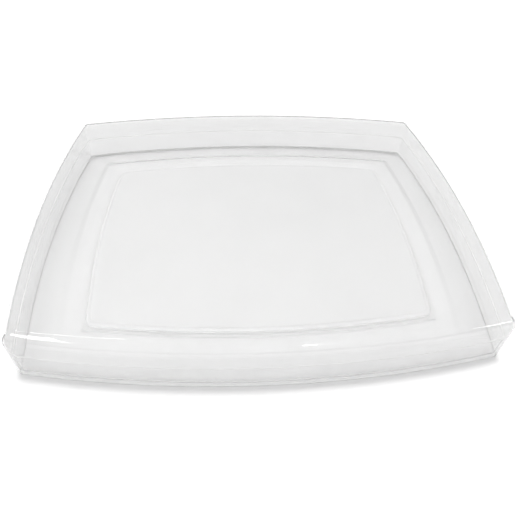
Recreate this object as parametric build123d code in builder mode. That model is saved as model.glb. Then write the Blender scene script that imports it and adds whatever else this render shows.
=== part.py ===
from build123d import *
import os

# Wet palette for acrylic and model paints: a clear tray with a raised ring round its well,
# a sponge and a sheet of palette paper in the well, and a clear lid over it all.
# Millimetres, +Z up. The origin is the middle of the underside, on the table.

# Outline: four bowed sides that meet in nearly sharp upright corners
corner_width = 406.0
corner_depth = 322.0
side_bow = 13.0
front_bow = 20.0

# Lid: one formed sheet, open below, that stands on the table round the tray
lid_height = 50.0
lid_sheet = 1.2
lid_corner = 4.0
lid_bend = 10.0

# Tray: one formed sheet, with a sloped border, a raised ring and a well
lid_gap = 0.8
tray_height = 25.0
tray_sheet = 1.2
tray_corner = 6.0
tray_bend = 3.0
border_width = 23.0
border_rise = 2.5
ring_width = 11.0
ring_height = 6.2
ring_slope = 7.0
ring_corner = 6.0

# Sponge and paper, cut to the outline of the well
sponge_gap = 1.5
sponge_thickness = 4.0
paper_margin = 3.0
paper_thickness = 0.25
pad_corner = 8.0

# Insets from the lid's outer face to the tray's wall and to each crease of its floor
tray_inset = lid_sheet + lid_gap
border_foot_inset = tray_inset + tray_sheet
ring_foot_inset = border_foot_inset + border_width
ring_edge_inset = ring_foot_inset + ring_slope
well_edge_inset = ring_edge_inset + ring_width
well_foot_inset = well_edge_inset + ring_slope
sponge_inset = well_foot_inset + sponge_gap
paper_inset = sponge_inset + paper_margin

# Heights of the surfaces that carry something
border_top = tray_sheet + border_rise
sponge_top = tray_sheet + sponge_thickness

half_width = corner_width / 2
half_depth = corner_depth / 2


def outline(height, inset, corner):
    """The bowed outline at a height, its sides moved in by inset and its corners rounded."""
    front_left = (-half_width, -half_depth)
    front_right = (half_width, -half_depth)
    back_right = (half_width, half_depth)
    back_left = (-half_width, half_depth)
    with BuildSketch(Plane.XY.offset(height)) as sketch:
        with BuildLine():
            ThreePointArc(front_left, (0, -half_depth - front_bow), front_right)
            ThreePointArc(front_right, (half_width + side_bow, 0), back_right)
            ThreePointArc(back_right, (0, half_depth + front_bow), back_left)
            ThreePointArc(back_left, (-half_width - side_bow, 0), front_left)
        make_face()
        if inset > 0:
            offset(amount=-inset, kind=Kind.INTERSECTION)
        fillet(sketch.vertices(), corner)
    return sketch.sketch


def lid_block(height, inset):
    """The space inside one face of the lid's sheet: upright sides with a bend along the top."""
    with BuildPart(mode=Mode.PRIVATE) as block:
        extrude(outline(0, inset, lid_corner - inset), amount=height)
        fillet(block.faces().sort_by(Axis.Z)[-1].edges(), lid_bend - inset)
    return block.part


def tray_block(bottom, inset):
    """The space inside one face of the tray's wall, with a bend along its lower edge."""
    with BuildPart(mode=Mode.PRIVATE) as block:
        extrude(outline(bottom, tray_inset + inset, tray_corner - inset), amount=tray_height - bottom)
        fillet(block.faces().sort_by(Axis.Z)[0].edges(), tray_bend - inset)
    return block.part


def slope_block(bottom, top, bottom_inset, top_inset):
    """A solid of the bowed outline whose sides slope from one inset to another."""
    with BuildPart(mode=Mode.PRIVATE) as block:
        loft(
            [outline(bottom, bottom_inset, ring_corner), outline(top, top_inset, ring_corner)],
            ruled=True,
        )
    return block.part


def floor_relief(drop, shift):
    """The sloped border and the raised ring, lowered by drop, their sides moved in by shift."""
    foot = tray_sheet - drop
    crease = border_top - drop
    crest = ring_height - drop
    with BuildPart(mode=Mode.PRIVATE) as relief:
        add(slope_block(foot, crease, border_foot_inset + shift, ring_foot_inset + shift))
        add(slope_block(crease, crest, ring_foot_inset + shift, ring_edge_inset + shift))
        add(
            slope_block(foot, crest, well_foot_inset - shift, well_edge_inset - shift),
            mode=Mode.SUBTRACT,
        )
    return relief.part


def pad(bottom, thickness, inset):
    """A flat pad of the bowed outline, lying in the well."""
    with BuildPart(mode=Mode.PRIVATE) as flat:
        extrude(outline(bottom, inset, pad_corner), amount=thickness)
    return flat.part


os.makedirs("parts", exist_ok=True)

# Lid: upright walls, a rounded bend along the top edge and a flat top, all of one sheet
with BuildPart() as lid:
    add(lid_block(lid_height, 0))
    add(lid_block(lid_height - lid_sheet, lid_sheet), mode=Mode.SUBTRACT)
lid.part.label = "lid"
export_step(lid.part, "parts/lid.step")

# Tray: a wall, a border that slopes up to a raised ring, and a flat well inside the ring,
# hollow below the border and the ring because it is all of one sheet
with BuildPart() as base_tray:
    add(tray_block(0, 0))
    add(tray_block(tray_sheet, tray_sheet), mode=Mode.SUBTRACT)
    add(floor_relief(0, 0))
    add(floor_relief(tray_sheet, tray_sheet / 2), mode=Mode.SUBTRACT)
base_tray.part.label = "base_tray"
export_step(base_tray.part, "parts/base_tray.step")

# Sponge: one flat pad that fills the well and holds the water
with BuildPart() as sponge:
    add(pad(tray_sheet, sponge_thickness, sponge_inset))
sponge.part.label = "sponge"
export_step(sponge.part, "parts/sponge.step")

# Palette paper: one sheet that lies on the sponge and lets its water through
with BuildPart() as palette_paper:
    add(pad(sponge_top, paper_thickness, paper_inset))
palette_paper.part.label = "palette_paper"
export_step(palette_paper.part, "parts/palette_paper.step")
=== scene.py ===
"""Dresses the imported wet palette: two clear formed sheets, a foam pad, damp paper and a pale studio."""

import logging
import math
from dataclasses import dataclass
from enum import Enum

import bmesh
import bpy
from mathutils import Euler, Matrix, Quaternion, Vector


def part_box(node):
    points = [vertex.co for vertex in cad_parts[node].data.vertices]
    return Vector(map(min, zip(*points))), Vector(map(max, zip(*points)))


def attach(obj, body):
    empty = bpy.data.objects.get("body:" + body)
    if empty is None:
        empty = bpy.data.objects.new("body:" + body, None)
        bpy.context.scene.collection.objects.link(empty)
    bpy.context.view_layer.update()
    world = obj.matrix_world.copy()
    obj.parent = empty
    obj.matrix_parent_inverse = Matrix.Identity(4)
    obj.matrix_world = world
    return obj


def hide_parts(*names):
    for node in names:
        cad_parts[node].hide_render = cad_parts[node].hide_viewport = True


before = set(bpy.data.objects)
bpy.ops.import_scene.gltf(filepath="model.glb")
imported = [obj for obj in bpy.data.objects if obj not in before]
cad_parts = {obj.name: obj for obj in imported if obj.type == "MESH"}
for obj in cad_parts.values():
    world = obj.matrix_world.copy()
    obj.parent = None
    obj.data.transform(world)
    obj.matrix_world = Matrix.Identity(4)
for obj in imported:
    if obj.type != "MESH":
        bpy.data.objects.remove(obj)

log = logging.getLogger("wet_palette")

MILLIMETRE = 0.001
MERGE_REACH = 0.001 * MILLIMETRE
SHARP_ANGLE = math.radians(50)


class SheetSide(Enum):
    """The side of a formed skin on which its thickness lies."""

    INWARD = -1.0
    OUTWARD = 1.0


class Hold(Enum):
    """How a loose sheet is held."""

    LAID = "laid"


@dataclass(frozen=True)
class Crease:
    """A bend in a formed sheet's section.

    Attributes:
        inset: distance in from the outer outline, in metres.
        height: height above the table, in metres.
        radius: radius of the bend, in metres.
    """

    inset: float
    height: float
    radius: float = 0.0


@dataclass(frozen=True)
class BowedOutline:
    """The outline that every piece shares: four bowed sides between nearly sharp corners.

    Attributes:
        half_width: centre to the corner along X.
        half_depth: centre to the corner along Y.
        side_bow: how far the left and right sides bow out.
        front_bow: how far the front and back sides bow out.
        side_steps: divisions of half a side.
        front_steps: divisions of half the front.
        corner_steps: divisions of a corner, an even number.
    """

    half_width: float
    half_depth: float
    side_bow: float = 13 * MILLIMETRE
    front_bow: float = 20 * MILLIMETRE
    side_steps: int = 14
    front_steps: int = 18
    corner_steps: int = 6

    @property
    def count(self) -> int:
        """Points in one whole loop."""
        return 4 * (self.side_steps + self.corner_steps + self.front_steps)

    @property
    def span(self) -> int:
        """Divisions of the front from corner to corner."""
        return 2 * self.front_steps + self.corner_steps

    def quarter(self, inset: float, corner: float) -> list[Vector]:
        """Points of the back right quarter, from the middle of the side to the middle of the back.

        Args:
            inset: how far the sides are moved in.
            corner: radius of the rounded corner.

        Returns:
            The points, counter-clockwise, both ends included.
        """
        side_radius = (self.half_depth**2 + self.side_bow**2) / (2 * self.side_bow)
        back_radius = (self.half_width**2 + self.front_bow**2) / (2 * self.front_bow)
        side_centre = Vector((self.half_width + self.side_bow - side_radius, 0.0))
        back_centre = Vector((0.0, self.half_depth + self.front_bow - back_radius))
        side_radius -= inset
        back_radius -= inset
        pivot = crossing(side_centre, side_radius - corner, back_centre, back_radius - corner)
        side_end = bearing(pivot - side_centre)
        back_end = bearing(pivot - back_centre)
        points = arc(side_centre, side_radius, 0.0, side_end, self.side_steps)
        points += arc(pivot, corner, side_end, back_end, self.corner_steps)[1:]
        points += arc(back_centre, back_radius, back_end, math.pi / 2, self.front_steps)[1:]
        return points

    def loop(self, inset: float, corner: float) -> list[Vector]:
        """The whole outline, counter-clockwise from the middle of the right side.

        Args:
            inset: how far the sides are moved in.
            corner: radius of the rounded corners.

        Returns:
            The points, the first not repeated.
        """
        back_right = self.quarter(inset, corner)
        back_left = [Vector((-p.x, p.y)) for p in reversed(back_right)]
        front_left = [Vector((-p.x, -p.y)) for p in back_right]
        front_right = [Vector((p.x, -p.y)) for p in reversed(back_right)]
        return back_right[:-1] + back_left[:-1] + front_left[:-1] + front_right[:-1]

    def area(self, inset: float, corner: float) -> float:
        """The area inside the outline.

        Args:
            inset: how far the sides are moved in.
            corner: radius of the rounded corners.

        Returns:
            The area in square metres.
        """
        points = self.loop(inset, corner)
        following = points[1:] + points[:1]
        return sum(here.x * there.y - there.x * here.y for here, there in zip(points, following)) / 2


def bearing(direction: Vector) -> float:
    """The angle of a direction from the X axis."""
    return math.atan2(direction.y, direction.x)


def arc(centre: Vector, radius: float, start: float, end: float, steps: int) -> list[Vector]:
    """Evenly spaced points on an arc.

    Args:
        centre: the arc's centre.
        radius: its radius.
        start: first angle, in radians.
        end: last angle, in radians.
        steps: number of divisions.

    Returns:
        The points, both ends included.
    """
    angles = [start + (end - start) * step / steps for step in range(steps + 1)]
    return [centre + radius * Vector((math.cos(angle), math.sin(angle))) for angle in angles]


def crossing(first: Vector, first_radius: float, second: Vector, second_radius: float) -> Vector:
    """The upper right point where two circles cross.

    Args:
        first: centre of the first circle.
        first_radius: its radius.
        second: centre of the second circle.
        second_radius: its radius.

    Returns:
        The crossing with the larger X and Y.
    """
    between = second - first
    distance = between.length
    along = (first_radius**2 - second_radius**2 + distance**2) / (2 * distance)
    across = math.sqrt(first_radius**2 - along**2)
    unit = between / distance
    foot = first + unit * along
    sides = [foot + Vector((-unit.y, unit.x)) * across, foot - Vector((-unit.y, unit.x)) * across]
    return max(sides, key=lambda point: point.x + point.y)


def rounded_section(creases: list[Crease], steps: int) -> list[Crease]:
    """A section with an arc of small straight runs at each crease that has a radius.

    Args:
        creases: the section's corner points in order.
        steps: divisions of each arc.

    Returns:
        Plain points, none with a radius.
    """
    points = []
    for number, crease in enumerate(creases):
        if crease.radius == 0:
            points.append(crease)
            continue
        here = Vector((crease.inset, crease.height))
        before = (Vector((creases[number - 1].inset, creases[number - 1].height)) - here).normalized()
        after = (Vector((creases[number + 1].inset, creases[number + 1].height)) - here).normalized()
        half_angle = before.angle(after) / 2
        reach = crease.radius / math.tan(half_angle)
        centre = here + (before + after).normalized() * crease.radius / math.sin(half_angle)
        start = here + before * reach - centre
        end = here + after * reach - centre
        turn = start.angle_signed(end)
        for step in range(steps + 1):
            angle = bearing(start) - turn * step / steps
            point = centre + crease.radius * Vector((math.cos(angle), math.sin(angle)))
            points.append(Crease(point.x, point.y))
    return points


def deselect_all() -> None:
    """Leaves nothing selected, so an operator acts only on what is added next."""
    if bpy.context.object and bpy.context.object.mode != "OBJECT":
        bpy.ops.object.mode_set(mode="OBJECT")
    bpy.ops.object.select_all(action="DESELECT")


def select_only(piece: bpy.types.Object) -> None:
    """Makes a piece the only selected one and the active one.

    Args:
        piece: the piece to work on.
    """
    deselect_all()
    piece.select_set(True)
    bpy.context.view_layer.objects.active = piece


def apply_modifier(piece: bpy.types.Object, kind: str, **settings: object) -> None:
    """Adds a modifier and applies it at once.

    Args:
        piece: the piece to change.
        kind: the modifier's type.
        **settings: its values.
    """
    select_only(piece)
    modifier = piece.modifiers.new(kind.title(), kind)
    for name, value in settings.items():
        setattr(modifier, name, value)
    bpy.ops.object.modifier_apply(modifier=modifier.name)


@dataclass
class FormedSheet:
    """A sheet drawn over a mould: rings of the bowed outline, joined from the free edge to the middle.

    Attributes:
        name: the piece's name.
        outline: the outline that the rings follow.
        creases: the section from the free edge to the last ring.
        corner: radius of the upright corners.
        thickness: the sheet's thickness.
        side: the side of the skin on which the thickness lies.
        bend_steps: divisions of each bend.
        edge_round: how far the cut edge is rounded.
        edge_steps: divisions of that rounding.
        steep: rise of a face's normal under which the face counts as a wall.
    """

    name: str
    outline: BowedOutline
    creases: list[Crease]
    corner: float
    thickness: float
    side: SheetSide = SheetSide.INWARD
    bend_steps: int = 8
    edge_round: float = 0.3 * MILLIMETRE
    edge_steps: int = 2
    steep: float = 0.5

    def build(self) -> bpy.types.Object:
        """Models the sheet.

        Returns:
            The finished piece.
        """
        stations = rounded_section(self.creases, self.bend_steps)
        piece = self.first_ring(stations[0])
        for station in stations[1:]:
            bpy.ops.mesh.extrude_region()
            self.place_ring(piece, station)
        bpy.ops.mesh.fill_grid(span=self.outline.span, offset=0)
        bpy.ops.mesh.select_all(action="SELECT")
        bpy.ops.mesh.remove_doubles(threshold=MERGE_REACH)
        bpy.ops.mesh.normals_make_consistent(inside=False)
        bpy.ops.object.mode_set(mode="OBJECT")
        apply_modifier(
            piece,
            "SOLIDIFY",
            thickness=self.thickness,
            offset=self.side.value,
            use_even_offset=True,
            use_quality_normals=True,
        )
        self.round_edge(piece)
        select_only(piece)
        bpy.ops.object.shade_smooth_by_angle(angle=SHARP_ANGLE)
        apply_modifier(piece, "WEIGHTED_NORMAL", weight=100, keep_sharp=True)
        return piece

    def first_ring(self, station: Crease) -> bpy.types.Object:
        """Adds the free edge's ring and leaves it in edit mode.

        Args:
            station: the ring's place in the section.

        Returns:
            The new piece.
        """
        deselect_all()
        bpy.ops.mesh.primitive_circle_add(vertices=self.outline.count, radius=self.outline.half_width)
        piece = bpy.context.object
        piece.name = self.name
        piece.data.name = self.name
        order = piece.data.attributes.new("place", "INT", "POINT")
        order.data.foreach_set("value", range(self.outline.count))
        bpy.ops.object.mode_set(mode="EDIT")
        bpy.ops.mesh.select_all(action="SELECT")
        self.place_ring(piece, station)
        return piece

    def place_ring(self, piece: bpy.types.Object, station: Crease) -> None:
        """Moves the selected ring onto the outline at a station.

        Args:
            piece: the piece in edit mode.
            station: the ring's place in the section.
        """
        points = self.outline.loop(station.inset, self.corner)
        mesh = bmesh.from_edit_mesh(piece.data)
        order = mesh.verts.layers.int["place"]
        for vertex in mesh.verts:
            if vertex.select:
                vertex.co = (*points[vertex[order]], station.height)
        bmesh.update_edit_mesh(piece.data)

    def round_edge(self, piece: bpy.types.Object) -> None:
        """Rounds the two sides of the cut edge.

        Args:
            piece: the thickened piece.
        """
        select_only(piece)
        level = self.creases[0].height
        bpy.ops.object.mode_set(mode="EDIT")
        bpy.ops.mesh.select_mode(type="EDGE")
        bpy.ops.mesh.select_all(action="DESELECT")
        mesh = bmesh.from_edit_mesh(piece.data)
        for edge in mesh.edges:
            on_level = all(abs(v.co.z - level) < self.edge_round for v in edge.verts)
            wall = [f for f in edge.link_faces if abs(f.normal.z) < self.steep]
            edge.select = on_level and len(wall) == 1
        bmesh.update_edit_mesh(piece.data)
        bpy.ops.mesh.bevel(offset=self.edge_round, segments=self.edge_steps)
        bpy.ops.object.mode_set(mode="OBJECT")


class NodeTree:
    """A short way to write a material's nodes.

    Attributes:
        material: the material being made.
    """

    def __init__(self, name: str) -> None:
        """Starts an empty material.

        Args:
            name: the material's name.
        """
        self.material = bpy.data.materials.new(name)
        self.material.use_nodes = True
        self.nodes = self.material.node_tree.nodes
        self.links = self.material.node_tree.links
        self.nodes.clear()
        self.output = self.nodes.new("ShaderNodeOutputMaterial")

    def add(self, kind: str, inputs: dict | None = None, **settings: object) -> bpy.types.Node:
        """Adds a node.

        Args:
            kind: the node's type without its ShaderNode prefix.
            inputs: socket values, or sockets to link from.
            **settings: the node's own properties.

        Returns:
            The new node.
        """
        node = self.nodes.new("ShaderNode" + kind)
        for name, value in settings.items():
            setattr(node, name, value)
        for name, value in (inputs or {}).items():
            if isinstance(value, bpy.types.NodeSocket):
                self.links.new(value, node.inputs[name])
            else:
                node.inputs[name].default_value = value
        return node

    def place(self) -> bpy.types.NodeSocket:
        """The place on the piece, in its own coordinates."""
        return self.add("TexCoord").outputs["Object"]

    def height(self, place: bpy.types.NodeSocket) -> bpy.types.NodeSocket:
        """The height of a place above the table."""
        return self.add("SeparateXYZ", {"Vector": place}).outputs["Z"]

    def noise(
        self, place: bpy.types.NodeSocket, scale: float, detail: float, **inputs: float
    ) -> bpy.types.NodeSocket:
        """Adds a cloudy pattern.

        Args:
            place: the place on the piece.
            scale: the pattern's scale.
            detail: how many finer layers it has.
            **inputs: its other sockets.

        Returns:
            The pattern's value.
        """
        sockets = {"Vector": place, "Scale": scale, "Detail": detail, **inputs}
        return self.add("TexNoise", sockets).outputs["Fac"]

    def work(
        self, operation: str, first: bpy.types.NodeSocket | float, second: bpy.types.NodeSocket | float
    ) -> bpy.types.NodeSocket:
        """Adds one sum.

        Args:
            operation: the kind of sum.
            first: its first value.
            second: its second value.

        Returns:
            The result.
        """
        return self.add("Math", {0: first, 1: second}, operation=operation).outputs[0]

    def between(
        self, value: bpy.types.NodeSocket, given: tuple[float, float], wanted: tuple[float, float]
    ) -> bpy.types.NodeSocket:
        """Maps one range of a value to another, held at both ends.

        Args:
            value: the value.
            given: the range that it comes in.
            wanted: the range that it becomes.

        Returns:
            The mapped value.
        """
        sockets = {
            "Value": value,
            "From Min": given[0],
            "From Max": given[1],
            "To Min": wanted[0],
            "To Max": wanted[1],
        }
        return self.add("MapRange", sockets).outputs["Result"]

    def greys(
        self, value: bpy.types.NodeSocket, given: tuple[float, float], levels: tuple[float, float]
    ) -> bpy.types.NodeSocket:
        """Turns a value into a grey between two levels.

        Args:
            value: the value.
            given: the values at which the two levels are reached.
            levels: the two levels.

        Returns:
            The colour.
        """
        ramp = self.add("ValToRGB", {"Fac": value})
        for element, position, level in zip(ramp.color_ramp.elements, given, levels):
            element.position = position
            element.color = grey(level)
        return ramp.outputs["Color"]

    def bump(self, relief: bpy.types.NodeSocket, strength: float, depth: float) -> bpy.types.NodeSocket:
        """Adds a fine relief.

        Args:
            relief: the relief's value.
            strength: how much of it shows.
            depth: its depth.

        Returns:
            The bent normal.
        """
        return self.add("Bump", {"Height": relief, "Strength": strength, "Distance": depth}).outputs["Normal"]

    def finish(self, surface: bpy.types.NodeSocket) -> bpy.types.Material:
        """Links the surface and hands the material over.

        Args:
            surface: the last shader's socket.

        Returns:
            The finished material.
        """
        self.links.new(surface, self.output.inputs["Surface"])
        return self.material


def grey(level: float) -> tuple[float, float, float, float]:
    """A neutral colour of one level."""
    return (level, level, level, 1.0)


@dataclass(frozen=True)
class ClearSheetFinish:
    """Clear formed plastic: a faint tint, fine scuffs and the slow waves that forming leaves.

    Attributes:
        name: the material's name.
        tint: share of the light that each face lets through.
        painted_wall_shade: painted shade: a smaller share in the lower part of the walls, so that the walls
            read darker than the top.
        wall_level: height from which the full tint holds.
        wall_fade: height over which the tint changes.
        mottle: how much the tint varies.
        gloss: roughness of the clean and of the scuffed sheet.
        scuff_scale: scale of the scuffs.
        scuff_range: values of the pattern between which the sheet turns from clean to scuffed.
        patch_scale: scale of the patches in which the sheet is worn.
        patch_range: values of the patches between which the tint varies.
        wave_scale: scale of the slow waves.
        wave_strength: how much the waves show.
        wave_depth: height of the waves.
        shade: share of a lamp's light that each face lets straight through.
        graze: the same share where the light only grazes the face.
        graze_start: how far the face is turned away where the shade starts to change.
        cut_level: height of the cut edge, which is frosted.
        cut_reach: how far the frosting runs from the edge.
        frost: how white the frosting is, from 0 to 1.
        bending: the plastic's refractive index.
    """

    name: str
    tint: float
    painted_wall_shade: float
    wall_level: float = 0.0
    wall_fade: float = 6 * MILLIMETRE
    mottle: float = 0.006
    gloss: tuple[float, float] = (0.015, 0.07)
    scuff_scale: float = 260.0
    scuff_range: tuple[float, float] = (0.2, 0.42)
    patch_scale: float = 22.0
    patch_range: tuple[float, float] = (0.3, 0.7)
    wave_scale: float = 14.0
    wave_strength: float = 0.5
    wave_depth: float = 0.25 * MILLIMETRE
    shade: float = 0.98
    graze: float = 0.98
    graze_start: float = 0.45
    cut_level: float = 0.0
    cut_reach: float = 0.35 * MILLIMETRE
    frost: float = 0.85
    bending: float = 1.45

    def material(self) -> bpy.types.Material:
        """Makes the material.

        Returns:
            A clear material that lets lamps through.
        """
        tree = NodeTree(self.name)
        place = tree.place()
        height = tree.height(place)
        patches = tree.noise(place, self.patch_scale, 3.0)
        waves = tree.noise(place, self.wave_scale, 1.0)
        sheet = tree.add(
            "BsdfPrincipled",
            {
                "Base Color": self.colour(tree, height, patches),
                "Roughness": self.roughness(tree, place, patches),
                "IOR": self.bending,
                "Transmission Weight": self.clearness(tree, height),
                "Normal": tree.bump(waves, self.wave_strength, self.wave_depth),
            },
        )
        facing = tree.add("LayerWeight", {"Blend": 0.5}).outputs["Facing"]
        dimming = tree.greys(facing, (self.graze_start, 1.0), (self.shade, self.graze))
        through = tree.add("BsdfTransparent", {"Color": dimming})
        lamp = tree.add("LightPath").outputs["Is Shadow Ray"]
        mix = tree.add("MixShader", {0: lamp, 1: sheet.outputs["BSDF"], 2: through.outputs["BSDF"]})
        return tree.finish(mix.outputs["Shader"])

    def colour(
        self, tree: NodeTree, height: bpy.types.NodeSocket, patches: bpy.types.NodeSocket
    ) -> bpy.types.NodeSocket:
        """The tint, with painted shade in the walls (a stronger tint there) and slightly mottled at random.

        Args:
            tree: the material's nodes.
            height: the height above the table.
            patches: the pattern of the patches.

        Returns:
            The colour.
        """
        # Painted shade: below the wall level the tint drops, so that the walls read darker than the top.
        fade = (self.wall_level - self.wall_fade, self.wall_level)
        level = tree.between(height, fade, (self.painted_wall_shade, self.tint))
        mottle = tree.between(patches, self.patch_range, (-self.mottle, self.mottle))
        tint = tree.work("ADD", level, mottle)
        return tree.add("CombineColor", {"Red": tint, "Green": tint, "Blue": tint}).outputs["Color"]

    def roughness(
        self, tree: NodeTree, place: bpy.types.NodeSocket, patches: bpy.types.NodeSocket
    ) -> bpy.types.NodeSocket:
        """The roughness, higher where the sheet is scuffed.

        Args:
            tree: the material's nodes.
            place: the place on the piece.
            patches: the pattern of the patches.

        Returns:
            The roughness.
        """
        scuffs = tree.noise(place, self.scuff_scale, 6.0, Roughness=0.7)
        return tree.between(tree.work("MULTIPLY", scuffs, patches), self.scuff_range, self.gloss)

    def clearness(self, tree: NodeTree, height: bpy.types.NodeSocket) -> bpy.types.NodeSocket:
        """How clear the sheet is: less at the frosted cut edge.

        Args:
            tree: the material's nodes.
            height: the height above the table.

        Returns:
            The share that is clear.
        """
        above = tree.work("GREATER_THAN", height, self.cut_level - self.cut_reach)
        below = tree.work("LESS_THAN", height, self.cut_level + self.cut_reach)
        cut = tree.work("MULTIPLY", above, below)
        return tree.work("SUBTRACT", 1.0, tree.work("MULTIPLY", cut, self.frost))


@dataclass(frozen=True)
class FoamFinish:
    """White open-cell foam: small round pores and a soft, matt surface.

    Attributes:
        name: the material's name.
        tones: colour in the pores, darker there as painted shade, and between them.
        foot: painted light: how much lighter the colour of the pad's lower sides is made, as a factor, to
            lift the shade there.
        foot_level: height below which the full painted light holds.
        painted_light_top: height above which there is no painted light.
        pores: scale of the pores.
        pore_range: values of the pattern at which the two colours are reached.
        clouds: scale of the uneven patches.
        pore_strength: how much the relief of the pores shows.
        pore_depth: depth of the pores.
        softness: share of the light that wanders inside the foam.
        reach: how far it wanders.
        roughness: how matt the foam is.
    """

    name: str
    tones: tuple[float, float] = (0.66, 0.72)
    foot: float = 1.34
    foot_level: float = 3.2 * MILLIMETRE
    painted_light_top: float = 4.4 * MILLIMETRE
    pores: float = 900.0
    pore_range: tuple[float, float] = (0.08, 0.25)
    clouds: float = 60.0
    pore_strength: float = 0.8
    pore_depth: float = 0.4 * MILLIMETRE
    softness: float = 0.6
    reach: float = 3 * MILLIMETRE
    roughness: float = 0.95

    def material(self) -> bpy.types.Material:
        """Makes the material.

        Returns:
            A matt white material with pores.
        """
        tree = NodeTree(self.name)
        place = tree.place()
        cells = tree.add("TexVoronoi", {"Vector": place, "Scale": self.pores}).outputs["Distance"]
        depth = tree.work("MULTIPLY", cells, tree.noise(place, self.clouds, 4.0))
        # Painted shade: the pits of the pores are coloured darker than the foam between them.
        colour = tree.greys(depth, self.pore_range, self.tones)
        # Painted light: the colour of the pad's lower sides is made lighter, fading out with height, to lift
        # the shade that falls there.
        painted_foot_light = tree.between(tree.height(place), (self.foot_level, self.painted_light_top), (self.foot, 1.0))
        tone = tree.add("VectorMath", {0: colour, "Scale": painted_foot_light}, operation="SCALE")
        foam = tree.add(
            "BsdfPrincipled",
            {
                "Base Color": tone.outputs["Vector"],
                "Roughness": self.roughness,
                "Subsurface Weight": self.softness,
                "Subsurface Scale": self.reach,
                "Subsurface Radius": (1.0, 1.0, 1.0),
                "Normal": tree.bump(depth, self.pore_strength, self.pore_depth),
            },
        )
        return tree.finish(foam.outputs["BSDF"])


@dataclass(frozen=True)
class PaperFinish:
    """White palette paper: fine fibres and a smooth face.

    Attributes:
        name: the material's name.
        tones: colour of the fibres and of the paper between them.
        fibres: scale of the fibres.
        fibre_range: values of the pattern at which the two colours are reached.
        twist: how much the fibres wind.
        clouds: scale of the uneven patches.
        fibre_strength: how much the relief of the fibres shows.
        fibre_depth: depth of that relief.
        roughness: how matt the paper is.
    """

    name: str
    tones: tuple[float, float] = (0.75, 0.77)
    fibres: float = 700.0
    fibre_range: tuple[float, float] = (0.7, 1.0)
    twist: float = 1.5
    clouds: float = 9.0
    fibre_strength: float = 0.15
    fibre_depth: float = 0.1 * MILLIMETRE
    roughness: float = 0.62

    def material(self) -> bpy.types.Material:
        """Makes the material.

        Returns:
            A smooth white material with fine fibres.
        """
        tree = NodeTree(self.name)
        place = tree.place()
        fibres = tree.noise(place, self.fibres, 5.0, Distortion=self.twist)
        blend = tree.work("ADD", fibres, tree.noise(place, self.clouds, 2.0))
        paper = tree.add(
            "BsdfPrincipled",
            {
                "Base Color": tree.greys(blend, self.fibre_range, self.tones),
                "Roughness": self.roughness,
                "Normal": tree.bump(fibres, self.fibre_strength, self.fibre_depth),
            },
        )
        return tree.finish(paper.outputs["BSDF"])


@dataclass
class Lid:
    """The clear cover: upright walls, a bend along the top and a flat top.

    Attributes:
        outline: the shared outline.
        height: from the table to the top.
        bend: radius of the top bend.
        corner: radius of the upright corners.
        thickness: the sheet's thickness.
        bend_steps: divisions of the bend.
        finish: the lid's finish.
    """

    outline: BowedOutline
    height: float
    bend: float = 10 * MILLIMETRE
    corner: float = 4 * MILLIMETRE
    thickness: float = 1.2 * MILLIMETRE
    bend_steps: int = 10
    # The second tint is painted shade: the walls below 44 mm are tinted darker than the top.
    finish: ClearSheetFinish = ClearSheetFinish("lid_clear", 0.878, 0.812, 44 * MILLIMETRE, graze=0.08)

    def build(self) -> bpy.types.Object:
        """Models the lid and dresses it.

        Returns:
            The lid.
        """
        creases = [
            Crease(0.0, 0.0),
            Crease(0.0, self.height, self.bend),
            Crease(3 * self.bend, self.height),
        ]
        sheet = FormedSheet(
            "lid_cover", self.outline, creases, self.corner, self.thickness, bend_steps=self.bend_steps
        )
        piece = sheet.build()
        piece.data.materials.append(self.finish.material())
        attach(piece, "lid")
        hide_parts("lid")
        return piece


@dataclass
class BaseTray:
    """The clear tray: a wall, a border that slopes up to a ring, and a flat well.

    Attributes:
        outline: the shared outline.
        height: from the table to the rim.
        wall_inset: the wall's outer face, in from the lid's outer face.
        wall_bend: radius between the wall and the border.
        border_edge: inset and height where the border meets the ring's slope.
        ring_edge: inset and height of the ring's outer edge.
        well_edge: inset and height of the ring's inner edge.
        well_foot: inset and height of the well's edge.
        crease_round: radius of the border's, the ring's and the well's creases.
        floor_run: how far the flat floor is drawn before it is filled.
        corner: radius of the upright corners.
        thickness: the sheet's thickness.
        bend_steps: divisions of each bend.
        finish: the tray's finish.
    """

    outline: BowedOutline
    height: float
    wall_inset: float = 2 * MILLIMETRE
    wall_bend: float = 5 * MILLIMETRE
    border_edge: tuple[float, float] = (26.8 * MILLIMETRE, 2.5 * MILLIMETRE)
    ring_edge: tuple[float, float] = (33.8 * MILLIMETRE, 5.0 * MILLIMETRE)
    well_edge: tuple[float, float] = (43.6 * MILLIMETRE, 5.0 * MILLIMETRE)
    well_foot: tuple[float, float] = (50.6 * MILLIMETRE, 0.0)
    crease_round: float = 9 * MILLIMETRE
    floor_run: float = 10 * MILLIMETRE
    corner: float = 6 * MILLIMETRE
    thickness: float = 1.2 * MILLIMETRE
    bend_steps: int = 4
    finish: ClearSheetFinish = ClearSheetFinish(
        "tray_clear", 0.99, 0.99, cut_level=25 * MILLIMETRE, bending=1.30
    )

    def build(self) -> bpy.types.Object:
        """Models the tray and dresses it.

        Returns:
            The tray.
        """
        creases = [
            Crease(self.wall_inset, self.height),
            Crease(self.wall_inset, 0.0, self.wall_bend),
            Crease(*self.border_edge, self.crease_round),
            Crease(*self.ring_edge, self.crease_round),
            Crease(*self.well_edge, self.crease_round),
            Crease(*self.well_foot, self.crease_round),
            Crease(self.well_foot[0] + self.floor_run, 0.0),
        ]
        sheet = FormedSheet(
            "tray_shell", self.outline, creases, self.corner, self.thickness, bend_steps=self.bend_steps
        )
        piece = sheet.build()
        piece.data.materials.append(self.finish.material())
        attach(piece, "tray")
        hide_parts("base_tray")
        return piece


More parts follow.
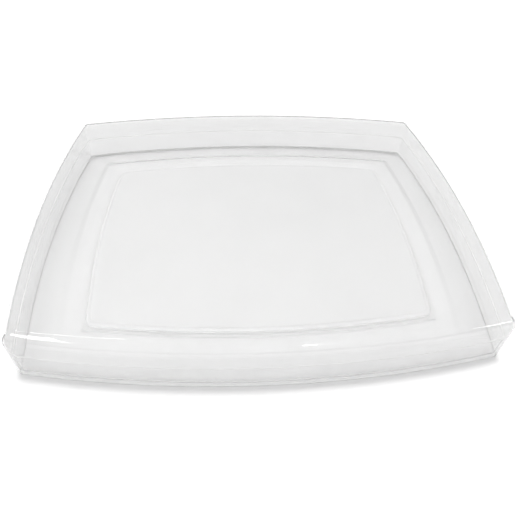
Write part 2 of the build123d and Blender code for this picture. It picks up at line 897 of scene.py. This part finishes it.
@dataclass
class CutPiece:
    """A flat piece cut to the outline of the well.

    Attributes:
        name: the piece's name.
        outline: the shared outline.
        inset: the piece's edge, in from the lid's outer face.
        bottom: height of its underside.
        top: height of its upper face.
        corner: radius of its corners.
        upper_edge: radius of its upper edge.
        lower_edge: radius of its lower edge.
        edge_steps: divisions of each rounded edge.
    """

    name: str
    outline: BowedOutline
    inset: float
    bottom: float
    top: float
    corner: float = 8 * MILLIMETRE
    upper_edge: float = 0.1 * MILLIMETRE
    lower_edge: float = 0.1 * MILLIMETRE
    edge_steps: int = 5

    def cut(self) -> bpy.types.Object:
        """Models the closed piece.

        Returns:
            The piece, both faces a grid of squares.
        """
        inner = self.inset + 2 * max(self.upper_edge, self.lower_edge)
        creases = [
            Crease(inner, self.bottom),
            Crease(self.inset, self.bottom, self.lower_edge),
            Crease(self.inset, self.top, self.upper_edge),
            Crease(inner, self.top),
        ]
        stations = rounded_section(creases, self.edge_steps)
        skin = FormedSheet(self.name, self.outline, creases, self.corner, 0.0)
        piece = skin.first_ring(stations[0])
        bpy.ops.mesh.fill_grid(span=self.outline.span, offset=0)
        self.select_open_edge(piece)
        for station in stations[1:]:
            bpy.ops.mesh.extrude_edges_indiv()
            skin.place_ring(piece, station)
        bpy.ops.mesh.fill_grid(span=self.outline.span, offset=0)
        bpy.ops.mesh.select_all(action="SELECT")
        bpy.ops.mesh.remove_doubles(threshold=MERGE_REACH)
        bpy.ops.mesh.normals_make_consistent(inside=False)
        bpy.ops.object.mode_set(mode="OBJECT")
        return piece

    def select_open_edge(self, piece: bpy.types.Object) -> None:
        """Selects only the open edge of the piece.

        Args:
            piece: the piece in edit mode.
        """
        bpy.ops.mesh.select_mode(type="EDGE")
        bpy.ops.mesh.select_all(action="DESELECT")
        mesh = bmesh.from_edit_mesh(piece.data)
        for edge in mesh.edges:
            edge.select = edge.is_boundary
        bmesh.update_edit_mesh(piece.data)

    def unevenness(self, name: str, size: float, depth: float, rest: float) -> dict[str, object]:
        """Settings of a displacement that makes a face slightly uneven.

        Args:
            name: name of the unevenness.
            size: how wide its swells are.
            depth: its full depth.
            rest: the share of the depth below the face, 0 for swells that only rise.

        Returns:
            The settings for a displacement modifier.
        """
        swells = bpy.data.textures.new(name, "CLOUDS")
        swells.noise_scale = size
        swells.noise_depth = 1
        return {"texture": swells, "strength": depth, "mid_level": rest, "texture_coords": "LOCAL"}

    def smooth(self, piece: bpy.types.Object) -> None:
        """Shades the piece smooth except at sharp edges.

        Args:
            piece: the piece to shade.
        """
        select_only(piece)
        bpy.ops.object.shade_smooth_by_angle(angle=SHARP_ANGLE)


@dataclass
class FoamPad(CutPiece):
    """The pad that holds the water: thick soft foam, crowned towards its cut sides.

    Attributes:
        swell: how far the damp foam swells sideways.
        rest_gap: how far it stands clear of the tray's floor.
        side_depth: depth of the unevenness of its sides.
        side_size: width of the swells in its sides.
        finish: the foam's finish.
    """

    upper_edge: float = 2 * MILLIMETRE
    lower_edge: float = 1.8 * MILLIMETRE
    swell: float = 1.4 * MILLIMETRE
    rest_gap: float = 0.1 * MILLIMETRE
    side_depth: float = 0.3 * MILLIMETRE
    side_size: float = 18 * MILLIMETRE
    finish: FoamFinish = FoamFinish("foam_white")

    def build(self) -> bpy.types.Object:
        """Models the pad and dresses it.

        Returns:
            The pad.
        """
        self.inset -= self.swell
        self.bottom += self.rest_gap
        piece = self.cut()
        self.mark_sides(piece)
        settings = self.unevenness("foam_sides", self.side_size, self.side_depth, 0.5)
        apply_modifier(piece, "DISPLACE", vertex_group="sides", **settings)
        self.smooth(piece)
        piece.data.materials.append(self.finish.material())
        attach(piece, "sponge")
        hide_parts("sponge")
        return piece

    def mark_sides(self, piece: bpy.types.Object) -> None:
        """Marks the cut sides, most at half height and not at all on the faces.

        Args:
            piece: the pad.
        """
        sides = piece.vertex_groups.new(name="sides")
        middle = (self.bottom + self.top) / 2
        reach = (self.top - self.bottom) / 2
        for vertex in piece.data.vertices:
            share = 1.0 - abs(vertex.co.z - middle) / reach
            sides.add([vertex.index], max(0.0, share), "REPLACE")


@dataclass
class PaperSheet(CutPiece):
    """The sheet of palette paper, slightly cockled by the damp foam that it lies on.

    Attributes:
        cockle: height of the cockles.
        cockle_size: width of the cockles.
        finish: the paper's finish.
    """

    cockle: float = 0.45 * MILLIMETRE
    cockle_size: float = 85 * MILLIMETRE
    finish: PaperFinish = PaperFinish("paper_white")

    def build(self, pad: bpy.types.Object) -> bpy.types.Object:
        """Models the sheet and dresses it.

        Args:
            pad: the foam that it lies on; not used.

        Returns:
            The sheet.
        """
        piece = self.cut()
        settings = self.unevenness("paper_cockles", self.cockle_size, self.cockle, 0.0)
        apply_modifier(piece, "DISPLACE", direction="Z", **settings)
        self.smooth(piece)
        piece.data.materials.append(self.finish.material())
        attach(piece, "paper")
        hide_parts("palette_paper")
        edge = self.outline.loop(self.inset, self.corner)
        area = self.outline.area(self.inset, self.corner)
        return piece


@dataclass(frozen=True)
class Softbox:
    """A small soft lamp that shows only as a highlight in the bends.

    Attributes:
        name: the lamp's name.
        place: where it stands.
        target: what it faces.
        width: its length across.
        height: its length upwards.
        power: its power in watts.
        lean: its turn about the way it faces, in degrees.
    """

    name: str
    place: tuple[float, float, float]
    target: tuple[float, float, float]
    width: float
    height: float
    power: float
    lean: float = 0.0

    def light(self, shown_on: bpy.types.Collection) -> None:
        """Hangs the lamp in the studio.

        Args:
            shown_on: the pieces that the lamp reaches.
        """
        data = bpy.data.lights.new(self.name, "AREA")
        data.shape = "RECTANGLE"
        data.size = self.width
        data.size_y = self.height
        data.energy = self.power
        lamp = bpy.data.objects.new(self.name, data)
        lamp.location = self.place
        facing = Vector(self.target) - Vector(self.place)
        lean = Quaternion((0.0, 0.0, 1.0), math.radians(self.lean))
        lamp.rotation_euler = (facing.to_track_quat("-Z", "Y") @ lean).to_euler()
        lamp.visible_diffuse = False
        lamp.visible_transmission = False
        lamp.light_linking.receiver_collection = shown_on
        bpy.context.scene.collection.objects.link(lamp)


@dataclass(frozen=True)
class Panel:
    """A wide lamp so far away that its light falls evenly.

    Attributes:
        name: the lamp's name.
        turn: its turn about X, Y and Z, in degrees, from shining straight down.
        power: its power in watts per square metre.
        spread: how wide it looks, in degrees.
    """

    name: str
    turn: tuple[float, float, float]
    power: float
    spread: float

    def light(self) -> bpy.types.Object:
        """Hangs the lamp in the studio.

        Returns:
            The lamp.
        """
        data = bpy.data.lights.new(self.name, "SUN")
        data.energy = self.power
        data.angle = math.radians(self.spread)
        lamp = bpy.data.objects.new(self.name, data)
        lamp.rotation_euler = Euler([math.radians(angle) for angle in self.turn], "XYZ")
        lamp.visible_glossy = False
        lamp.visible_transmission = False
        bpy.context.scene.collection.objects.link(lamp)
        return lamp


@dataclass
class Studio:
    """A pale table, a wide overhead light, small softboxes and the camera.

    Attributes:
        eye: the camera's place.
        turn: its turn about X, Y and Z, in degrees.
        lens: its focal length in millimetres.
        sensor: width of its sensor in millimetres.
        nearest: distance from which it sees.
        table: brightness of the table.
        table_size: the table's length and width.
        table_drop: how far its top lies below the palette.
        table_grain: scale of the table's grain.
        table_mottle: how much darker the grain is.
        low_light: strength of the light from the sides.
        high_light: strength of the light from overhead.
        low_rise: rise of a direction where the overhead light starts.
        high_rise: rise of a direction where it is full.
        ceiling: the lamp overhead.
        front_card: the low lamp that lights the foam's front edge.
        bounces: how often light may turn inside the clear sheets.
        softboxes: the small lamps.
    """

    eye: tuple[float, float, float] = (-0.0299, -0.3821, 0.3502)
    turn: tuple[float, float, float] = (45.096, -1.580, -3.486)
    lens: float = 33.40
    sensor: float = 36.0
    nearest: float = 10 * MILLIMETRE
    table: float = 0.92
    table_size: float = 12.0
    table_drop: float = 0.3 * MILLIMETRE
    table_grain: float = 40.0
    table_mottle: float = 0.004
    low_light: float = 0.08
    high_light: float = 0.88
    low_rise: float = 0.06
    high_rise: float = 0.42
    ceiling: Panel = Panel("wide_panel", (-8.0, 0.0, 0.0), 1.5, 11.0)
    front_card: Panel = Panel("front_card", (91.0, 0.0, 0.0), 2.0, 16.0)
    bounces: int = 24
    softboxes: tuple[Softbox, ...] = (
        Softbox("corner_strip", (-0.688, -0.460, 0.849), (-0.178, -0.160, 0.049), 0.50, 0.16, 2.6, -38.0),
        Softbox("edge_strip", (-0.544, 0.348, 1.058), (-0.150, -0.172, 0.050), 0.42, 0.08, 0.8),
        Softbox("right_strip", (1.005, -0.841, 0.593), (0.183, -0.162, 0.047), 0.17, 0.14, 0.9),
        Softbox("spark", (0.260, -0.738, 1.083), (0.030, -0.1755, 0.049), 0.08, 0.055, 1.2),
    )

    def set_table(self) -> bpy.types.Object:
        """Lays the table under the palette.

        Returns:
            The table's top.
        """
        deselect_all()
        bpy.ops.mesh.primitive_plane_add(size=self.table_size, location=(0, 0, -self.table_drop))
        table = bpy.context.object
        table.name = "table_top"
        tree = NodeTree("table_white")
        grain = tree.noise(tree.place(), self.table_grain, 2.0)
        colour = tree.greys(grain, (0.0, 1.0), (self.table - self.table_mottle, self.table))
        top = tree.add("BsdfDiffuse", {"Color": colour})
        table.data.materials.append(tree.finish(top.outputs["BSDF"]))
        return table

    def set_air(self) -> None:
        """Lights the studio from all round, brightest overhead, behind a plain pale backdrop."""
        world = bpy.data.worlds.new("studio_air")
        world.use_nodes = True
        nodes = world.node_tree.nodes
        links = world.node_tree.links
        direction = nodes.new("ShaderNodeTexCoord")
        split = nodes.new("ShaderNodeSeparateXYZ")
        rise = nodes.new("ShaderNodeMapRange")
        rise.interpolation_type = "SMOOTHSTEP"
        rise.inputs["From Min"].default_value = self.low_rise
        rise.inputs["From Max"].default_value = self.high_rise
        rise.inputs["To Min"].default_value = self.low_light
        rise.inputs["To Max"].default_value = self.high_light
        links.new(direction.outputs["Generated"], split.inputs["Vector"])
        links.new(split.outputs["Z"], rise.inputs["Value"])
        path = nodes.new("ShaderNodeLightPath")
        seen = nodes.new("ShaderNodeMix")
        seen.inputs["B"].default_value = self.high_light
        links.new(path.outputs["Is Camera Ray"], seen.inputs["Factor"])
        links.new(rise.outputs["Result"], seen.inputs["A"])
        links.new(seen.outputs["Result"], nodes["Background"].inputs["Strength"])
        nodes["Background"].inputs["Color"].default_value = grey(1.0)
        bpy.context.scene.world = world

    def set_camera(self) -> None:
        """Stands the camera in front of the palette, near and above it."""
        data = bpy.data.cameras.new("studio_camera")
        data.sensor_width = self.sensor
        data.lens = self.lens
        data.clip_start = self.nearest
        camera = bpy.data.objects.new("studio_camera", data)
        camera.location = self.eye
        camera.rotation_euler = Euler([math.radians(angle) for angle in self.turn], "XYZ")
        bpy.context.scene.collection.objects.link(camera)
        bpy.context.scene.camera = camera

    def build(self) -> None:
        """Sets the whole studio."""
        self.set_camera()
        self.set_table()
        self.set_air()
        scene = bpy.context.scene
        scene.view_settings.view_transform = "Standard"
        scene.cycles.max_bounces = self.bounces
        scene.cycles.glossy_bounces = self.bounces
        scene.cycles.transmission_bounces = self.bounces

    def light_lid(self, lid: bpy.types.Object) -> None:
        """Hangs the small lamps, which reach only the lid.

        Args:
            lid: the lid's cover.
        """
        shown_on = self.group("softbox_reach", [lid])
        for softbox in self.softboxes:
            softbox.light(shown_on)

    def light_all(self, sheets: list[bpy.types.Object], pad: bpy.types.Object) -> None:
        """Hangs the lamp overhead, shaded only by the clear sheets, and sets the front card for the pad.

        Args:
            sheets: the clear sheets.
            pad: the foam pad.
        """
        self.ceiling.light().light_linking.blocker_collection = self.group("ceiling_shade", sheets)
        self.front_card.light().light_linking.receiver_collection = self.group("card_reach", [pad])

    def group(self, name: str, pieces: list[bpy.types.Object]) -> bpy.types.Collection:
        """A set of pieces for a lamp.

        Args:
            name: name of the set.
            pieces: the pieces in it.

        Returns:
            The set.
        """
        collection = bpy.data.collections.new(name)
        for piece in pieces:
            collection.objects.link(piece)
        return collection


def main() -> None:
    """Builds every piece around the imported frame."""
    logging.basicConfig(level=logging.INFO, format="%(message)s")
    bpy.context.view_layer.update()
    studio = Studio()
    studio.build()
    lid_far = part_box("lid")[1]
    outline = BowedOutline(lid_far.x - BowedOutline.side_bow, lid_far.y - BowedOutline.front_bow)
    lid = Lid(outline, lid_far.z).build()
    studio.light_lid(lid)
    tray = BaseTray(outline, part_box("base_tray")[1].z).build()
    low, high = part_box("sponge")
    pad = FoamPad("foam_pad", outline, lid_far.x - high.x, low.z, high.z).build()
    studio.light_all([lid, tray], pad)
    low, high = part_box("palette_paper")
    paper = PaperSheet("paper_sheet", outline, lid_far.x - high.x, low.z, high.z).build(pad)
    for piece in (lid, tray, pad, paper):
        log.info("%s: %d faces", piece.name, len(piece.data.polygons))


if __name__ == "__main__":
    main()
